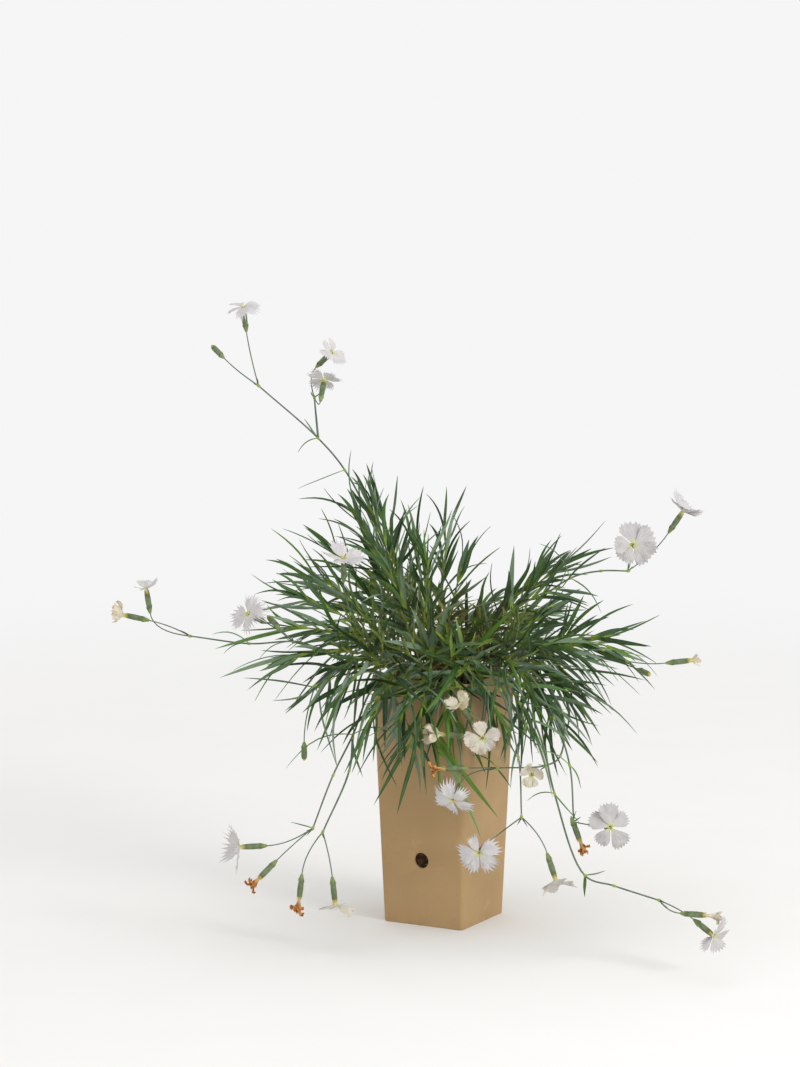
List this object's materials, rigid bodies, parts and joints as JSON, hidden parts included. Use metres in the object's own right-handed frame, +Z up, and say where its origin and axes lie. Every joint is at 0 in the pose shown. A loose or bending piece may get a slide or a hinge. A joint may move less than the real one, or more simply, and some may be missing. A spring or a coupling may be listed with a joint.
{
  "type": "potted dianthus plant",
  "caption": "Flowering fringed pink in a tall tapered square nursery pot, with a tuft of narrow leafy shoots and branching flower stems that arch up and trail over the rim.",
  "frame": {"origin": "centre of the pot's flat underside", "axes": "+Z up; +X and +Y square to two neighbouring sides of the pot; the trailing flower stems hang over its -Y side"},
  "size_m": [0.5272, 0.3489, 0.5119],
  "materials": {
    "pot": "matt moulded plastic, tan",
    "soil": "moist fibrous potting compost",
    "stem": "smooth waxy green stem and calyx",
    "petal": "white petal, soft sheen",
    "petal_aged": "cream ageing petal",
    "petal_withered": "dry brown shrunken petal",
    "leaf_glaucous": "waxy blue-green leaf",
    "leaf_green": "waxy mid-green leaf",
    "leaf_dark": "waxy dark green leaf"
  },
  "bodies": {
    "root": {"pot": "pot", "soil": "soil", "flower_stem_tall_left": "stem", "flower_stem_left_upright": "stem", "flower_stem_left_front": "stem", "flower_stem_far_left": "stem", "flower_stem_hanging_left": "stem", "flower_stem_bud_left": "stem", "flower_stem_right_high": "stem", "flower_stem_right": "stem", "flower_stem_front": "stem", "flower_stem_front_right": "stem", "flower_stem_trailing_right": "stem", "flower_stem_over_pot": "stem", "flower_stem_rim": "stem", "bloom_01": "petal", "bloom_03": "petal", "bloom_04": "petal", "bloom_05": "petal", "bloom_06": "petal", "bloom_07": "petal", "bloom_08": "petal_aged", "bloom_09": "petal", "bloom_10": "petal", "bloom_11": "petal_aged", "bloom_12": "petal", "bloom_13": "petal_withered", "bloom_14": "petal_withered", "bloom_15": "petal", "bloom_17": "petal_aged", "bloom_18": "petal_aged", "bloom_19": "petal_aged", "bloom_20": "petal_withered", "bloom_21": "petal", "bloom_22": "petal", "bloom_23": "petal_aged", "bloom_24": "petal_aged", "bloom_25": "petal", "bloom_26": "petal_withered", "bloom_27": "petal_withered", "bloom_28": "petal", "leaves_left_high": "leaf_glaucous", "leaves_left_back": "leaf_green", "leaves_middle_back": "leaf_dark", "leaves_middle_front": "leaf_glaucous", "leaves_centre": "leaf_green", "leaves_right_high": "leaf_dark", "leaves_right": "leaf_glaucous", "leaves_right_back": "leaf_green", "leaves_right_low": "leaf_dark", "leaves_front_right": "leaf_glaucous", "leaves_front": "leaf_green", "leaves_front_left": "leaf_dark", "leaves_left": "leaf_glaucous", "leaves_left_front": "leaf_green", "leaves_left_low": "leaf_dark", "leaves_back": "leaf_glaucous", "leaves_back_right": "leaf_green", "leaves_back_left": "leaf_dark"}
  },
  "joints": []
}
